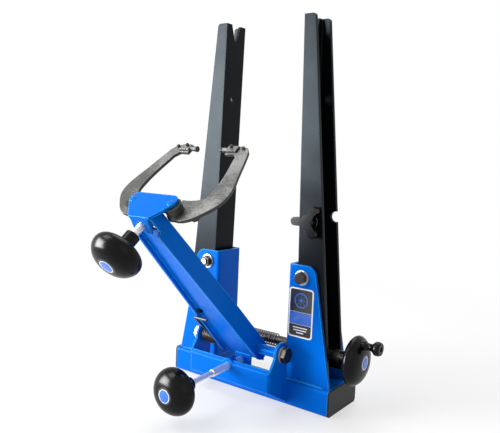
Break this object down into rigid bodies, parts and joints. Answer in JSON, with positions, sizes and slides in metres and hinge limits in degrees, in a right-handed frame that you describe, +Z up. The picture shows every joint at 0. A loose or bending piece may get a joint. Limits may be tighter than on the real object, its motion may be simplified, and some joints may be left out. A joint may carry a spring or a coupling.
{
  "type": "bicycle wheel truing stand",
  "caption": "Bench stand that holds a bicycle wheel between two tilting uprights, with a hinged caliper arm whose jaws close on the rim.",
  "frame": {"origin": "centre of the bench bolt pattern on the base's underside", "axes": "+Z up, +X along the base towards the crank, -Y towards the caliper arm"},
  "size_m": [0.2923, 0.31, 0.47],
  "materials": {
    "blue_paint": "gloss",
    "black_coat": "satin",
    "jaw_steel": "satin",
    "zinc_steel": "satin",
    "chrome": "polished",
    "dark_steel": "satin",
    "black_knob": "gloss",
    "cap_blue": "satin",
    "end_cap": "matte",
    "label": "satin",
    "pad_rubber": "matte",
    "spring_steel": "satin"
  },
  "bodies": {
    "stand": {"base_channel": "blue_paint", "left_end_cap": "end_cap", "right_end_cap": "end_cap", "left_bracket": "blue_paint", "right_bracket": "blue_paint", "left_pivot_bolt": "zinc_steel", "right_pivot_bolt": "dark_steel", "pivot_nuts": "dark_steel", "pivot_washers": "zinc_steel", "label_plate": "label", "caliper_bracket": "blue_paint", "radial_screw_nut": "blue_paint", "arm_pivot_bolt": "dark_steel", "arm_pivot_nut": "chrome", "arm_bolt_washers": "zinc_steel", "arm_spacer_tube": "blue_paint", "arm_torsion_spring": "dark_steel", "drive_spring": "spring_steel"},
    "crank": {"drive_screw": "dark_steel", "screw_collar": "dark_steel", "crank_disc": "black_knob", "crank_cap": "cap_blue", "handle_pin": "zinc_steel"},
    "crank_grip": {"crank_handle": "black_knob"},
    "left_post": {"left_upright": "black_coat", "left_pivot_sleeve": "black_coat"},
    "right_post": {"right_upright": "black_coat", "right_pivot_sleeve": "black_coat", "clamp_collar": "black_coat"},
    "left_nut": {"left_drive_nut": "dark_steel"},
    "right_nut": {"right_drive_nut": "dark_steel"},
    "thumb_knob": {"clamp_knob": "black_knob", "clamp_stud": "zinc_steel", "clamp_washer": "zinc_steel"},
    "radial_rod": {"radial_screw": "chrome"},
    "radial_wheel": {"radial_knob": "black_knob", "radial_knob_cap": "cap_blue"},
    "arm": {"caliper_arm": "blue_paint", "arm_nose": "blue_paint", "arm_edge_pin": "black_coat", "spring_leg": "dark_steel", "caliper_head": "blue_paint", "jaw_screw_nut": "blue_paint", "jaw_pivot_bolts": "blue_paint", "jaw_pivot_nuts": "dark_steel", "jaw_washers": "dark_steel"},
    "jaw_rod": {"jaw_screw": "chrome"},
    "jaw_wheel": {"jaw_knob": "black_knob", "jaw_knob_cap": "cap_blue"},
    "left_caliper_jaw": {"left_jaw": "jaw_steel", "left_tip_insert": "jaw_steel", "left_tip_pad": "pad_rubber", "left_toe_screws": "dark_steel", "left_jaw_stop_nut": "dark_steel"},
    "right_caliper_jaw": {"right_jaw": "jaw_steel", "right_tip_insert": "jaw_steel", "right_tip_pad": "pad_rubber", "right_toe_screws": "dark_steel", "right_jaw_stop_nut": "dark_steel"}
  },
  "joints": [
    {"name": "crank_turn", "type": "hinge", "parent": "stand", "child": "crank", "pos_m": [0.1, -0.0056, 0.067], "axis": [1, 0, 0], "range_deg": [-877, 896]},
    {"name": "right_upright_tilt", "type": "hinge", "parent": "stand", "child": "right_post", "pos_m": [0.074, -0.0056, 0.16], "axis": [0, 1, 0], "range_deg": [-4.51, 4.61]},
    {"name": "left_upright_tilt", "type": "hinge", "parent": "stand", "child": "left_post", "pos_m": [-0.074, -0.0056, 0.16], "axis": [0, 1, 0], "range_deg": [-4.61, 4.51]},
    {"name": "right_nut_slide", "type": "slide", "parent": "stand", "child": "right_nut", "axis": [1, 0, 0], "range_m": [-0.0076, 0.0076]},
    {"name": "left_nut_slide", "type": "slide", "parent": "stand", "child": "left_nut", "axis": [1, 0, 0], "range_m": [-0.0076, 0.0076]},
    {"name": "crank_handle_spin", "type": "hinge", "parent": "crank", "child": "crank_grip", "pos_m": [0.16, -0.0056, 0.0875], "axis": [1, 0, 0], "continuous": true},
    {"name": "thumb_knob_turn", "type": "hinge", "parent": "right_post", "child": "thumb_knob", "pos_m": [0.08, -0.03, 0.228], "axis": [0, 1, 0], "continuous": true},
    {"name": "radial_screw_slide", "type": "slide", "parent": "stand", "child": "radial_rod", "axis": [0, 0.9993, 0.0384], "range_m": [-0.004, 0.0123]},
    {"name": "radial_knob_turn", "type": "hinge", "parent": "radial_rod", "child": "radial_wheel", "pos_m": [0, -0.16, 0.04096], "axis": [0, 0.9993, 0.0384], "range_deg": [-960, 2952]},
    {"name": "caliper_arm_swing", "type": "hinge", "parent": "stand", "child": "arm", "pos_m": [0, -0.0475, 0.067], "axis": [1, 0, 0], "range_deg": [-10.1, 31.1]},
    {"name": "jaw_screw_slide", "type": "slide", "parent": "arm", "child": "jaw_rod", "axis": [0, 0.7771, 0.6293], "range_m": [-0.0036, 0.0048]},
    {"name": "jaw_knob_turn", "type": "hinge", "parent": "jaw_rod", "child": "jaw_wheel", "pos_m": [0, -0.25042, 0.20635], "axis": [0, 0.7771, 0.6293], "range_deg": [-1028, 1371]},
    {"name": "right_jaw_swing", "type": "hinge", "parent": "arm", "child": "right_caliper_jaw", "pos_m": [0.027, -0.20146, 0.246], "axis": [0, 0.6293, -0.7771], "range_deg": [-9, 12]},
    {"name": "left_jaw_swing", "type": "hinge", "parent": "arm", "child": "left_caliper_jaw", "pos_m": [-0.027, -0.20146, 0.246], "axis": [0, 0.6293, -0.7771], "range_deg": [-12, 9]}
  ],
  "couplings": [
    {"joint": "right_upright_tilt", "follows": "crank_turn", "ratio": 0.005134},
    {"joint": "left_upright_tilt", "follows": "crank_turn", "ratio": -0.005134},
    {"joint": "right_nut_slide", "follows": "crank_turn", "m_per_rad": -0.0004775},
    {"joint": "left_nut_slide", "follows": "crank_turn", "m_per_rad": 0.0004775},
    {"joint": "caliper_arm_swing", "follows": "radial_knob_turn", "ratio": 0.0105},
    {"joint": "radial_screw_slide", "follows": "radial_knob_turn", "m_per_rad": 0.00023873},
    {"joint": "right_jaw_swing", "follows": "jaw_knob_turn", "ratio": 0.00875},
    {"joint": "left_jaw_swing", "follows": "jaw_knob_turn", "ratio": -0.00875},
    {"joint": "jaw_screw_slide", "follows": "jaw_knob_turn", "m_per_rad": 0.00019894}
  ]
}
